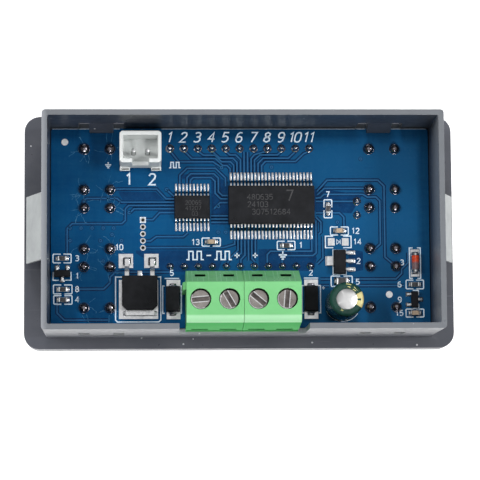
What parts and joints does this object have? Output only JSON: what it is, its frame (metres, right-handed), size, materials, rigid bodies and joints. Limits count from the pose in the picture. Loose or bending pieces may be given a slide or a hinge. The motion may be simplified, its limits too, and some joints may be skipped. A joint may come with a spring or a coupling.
{
  "type": "panel mount pulse driver module",
  "caption": "Driver board in an open-backed snap-in panel housing, with front keys and display, screw terminals, a control socket and surface-mount parts.",
  "frame": {"origin": "centre of the bezel's front lip, which the module lies on, face down", "axes": "+X along the long side, +Y along the short side away from the screw terminals, +Z out of the open back"},
  "size_m": [0.079, 0.043, 0.0258],
  "materials": {
    "housing_plastic": "satin moulded ABS, dark slate grey",
    "clip_plastic": "satin moulded ABS, a lighter grey where the light catches it",
    "clear_plastic": "polished clear acrylic",
    "display_glass": "polished display glass with tinned pins",
    "diffuser": "milky light guide",
    "board_mask": "blue solder mask over glass fibre board",
    "terminal_plastic": "green moulded nylon",
    "plated_steel": "zinc or tin plated steel",
    "tinned_brass": "tin plated brass",
    "chip_epoxy": "black moulding compound with tinned leads",
    "socket_nylon": "natural white nylon",
    "capacitor_sleeve": "dark green heat-shrunk sleeve on an aluminium can",
    "diode_glass": "red-orange glass with metal end caps",
    "resistor_ceramic": "black glaze on ceramic, tinned end caps",
    "key_plastic": "light grey moulded key cap",
    "switch_body": "black switch body with tinned legs",
    "switch_plunger": "black moulded plunger"
  },
  "bodies": {
    "module": {"capacitor": "capacitor_sleeve", "circuit_board": "board_mask", "control_pin_1": "plated_steel", "control_pin_2": "plated_steel", "control_socket": "socket_nylon", "controller_chip": "chip_epoxy", "display_backlight": "diffuser", "display_chip": "chip_epoxy", "display_glass": "display_glass", "display_lens": "clear_plastic", "housing": "housing_plastic", "power_diode_left": "chip_epoxy", "power_diode_right": "chip_epoxy", "power_transistor": "chip_epoxy", "resistor_1": "resistor_ceramic", "resistor_2": "resistor_ceramic", "resistor_3": "resistor_ceramic", "resistor_4": "resistor_ceramic", "resistor_5": "resistor_ceramic", "resistor_6": "resistor_ceramic", "resistor_7": "resistor_ceramic", "small_transistor_left": "chip_epoxy", "small_transistor_right": "chip_epoxy", "tact_switch_1": "switch_body", "tact_switch_2": "switch_body", "tact_switch_3": "switch_body", "tact_switch_4": "switch_body", "tact_switch_5": "switch_body", "tact_switch_6": "switch_body", "terminal_block_left": "terminal_plastic", "terminal_block_right": "terminal_plastic", "terminal_contact_1": "tinned_brass", "terminal_contact_2": "tinned_brass", "terminal_contact_3": "tinned_brass", "terminal_contact_4": "tinned_brass", "voltage_regulator": "chip_epoxy", "zener_diode": "diode_glass"},
    "key_1": {"key_cap_1": "key_plastic", "switch_plunger_1": "switch_plunger"},
    "key_2": {"key_cap_2": "key_plastic", "switch_plunger_2": "switch_plunger"},
    "key_3": {"key_cap_3": "key_plastic", "switch_plunger_3": "switch_plunger"},
    "key_4": {"key_cap_4": "key_plastic", "switch_plunger_4": "switch_plunger"},
    "key_5": {"key_cap_5": "key_plastic", "switch_plunger_5": "switch_plunger"},
    "key_6": {"key_cap_6": "key_plastic", "switch_plunger_6": "switch_plunger"},
    "screw_1": {"terminal_screw_1": "plated_steel"},
    "clamp_1": {"clamp_cage_1": "tinned_brass"},
    "screw_2": {"terminal_screw_2": "plated_steel"},
    "clamp_2": {"clamp_cage_2": "tinned_brass"},
    "screw_3": {"terminal_screw_3": "plated_steel"},
    "clamp_3": {"clamp_cage_3": "tinned_brass"},
    "screw_4": {"terminal_screw_4": "plated_steel"},
    "clamp_4": {"clamp_cage_4": "tinned_brass"},
    "clip_left": {"panel_clip_left": "clip_plastic"},
    "clip_right": {"panel_clip_right": "clip_plastic"}
  },
  "joints": [
    {"name": "key_1_press", "type": "slide", "parent": "module", "child": "key_1", "axis": [0, 0, 1], "range_m": [0, 0.00025], "stiffness_N_per_m": 800},
    {"name": "key_2_press", "type": "slide", "parent": "module", "child": "key_2", "axis": [0, 0, 1], "range_m": [0, 0.00025], "stiffness_N_per_m": 800},
    {"name": "key_3_press", "type": "slide", "parent": "module", "child": "key_3", "axis": [0, 0, 1], "range_m": [0, 0.00025], "stiffness_N_per_m": 800},
    {"name": "key_4_press", "type": "slide", "parent": "module", "child": "key_4", "axis": [0, 0, 1], "range_m": [0, 0.00025], "stiffness_N_per_m": 800},
    {"name": "key_5_press", "type": "slide", "parent": "module", "child": "key_5", "axis": [0, 0, 1], "range_m": [0, 0.00025], "stiffness_N_per_m": 800},
    {"name": "key_6_press", "type": "slide", "parent": "module", "child": "key_6", "axis": [0, 0, 1], "range_m": [0, 0.00025], "stiffness_N_per_m": 800},
    {"name": "screw_1_turn", "type": "hinge", "parent": "module", "child": "screw_1", "pos_m": [-0.00762, -0.014, 0.0234], "axis": [0, 0, -1], "range_deg": [0, 2160]},
    {"name": "clamp_1_lift", "type": "slide", "parent": "module", "child": "clamp_1", "axis": [0, 0, 1], "range_m": [0, 0.003]},
    {"name": "screw_2_turn", "type": "hinge", "parent": "module", "child": "screw_2", "pos_m": [-0.00254, -0.014, 0.0234], "axis": [0, 0, -1], "range_deg": [0, 2160]},
    {"name": "clamp_2_lift", "type": "slide", "parent": "module", "child": "clamp_2", "axis": [0, 0, 1], "range_m": [0, 0.003]},
    {"name": "screw_3_turn", "type": "hinge", "parent": "module", "child": "screw_3", "pos_m": [0.00254, -0.014, 0.0234], "axis": [0, 0, -1], "range_deg": [0, 2160]},
    {"name": "clamp_3_lift", "type": "slide", "parent": "module", "child": "clamp_3", "axis": [0, 0, 1], "range_m": [0, 0.003]},
    {"name": "screw_4_turn", "type": "hinge", "parent": "module", "child": "screw_4", "pos_m": [0.00762, -0.014, 0.0234], "axis": [0, 0, -1], "range_deg": [0, 2160]},
    {"name": "clamp_4_lift", "type": "slide", "parent": "module", "child": "clamp_4", "axis": [0, 0, 1], "range_m": [0, 0.003]},
    {"name": "clip_left_flex", "type": "hinge", "parent": "module", "child": "clip_left", "pos_m": [-0.0352, 0, 0.0166], "axis": [0, -1, 0], "range_deg": [0, 20], "stiffness_Nm_per_rad": 0.13},
    {"name": "clip_right_flex", "type": "hinge", "parent": "module", "child": "clip_right", "pos_m": [0.0352, 0, 0.0166], "axis": [0, 1, 0], "range_deg": [0, 20], "stiffness_Nm_per_rad": 0.13}
  ],
  "couplings": [
    {"joint": "screw_1_turn", "follows": "clamp_1_lift", "rad_per_m": 12566},
    {"joint": "screw_2_turn", "follows": "clamp_2_lift", "rad_per_m": 12566},
    {"joint": "screw_3_turn", "follows": "clamp_3_lift", "rad_per_m": 12566},
    {"joint": "screw_4_turn", "follows": "clamp_4_lift", "rad_per_m": 12566}
  ]
}
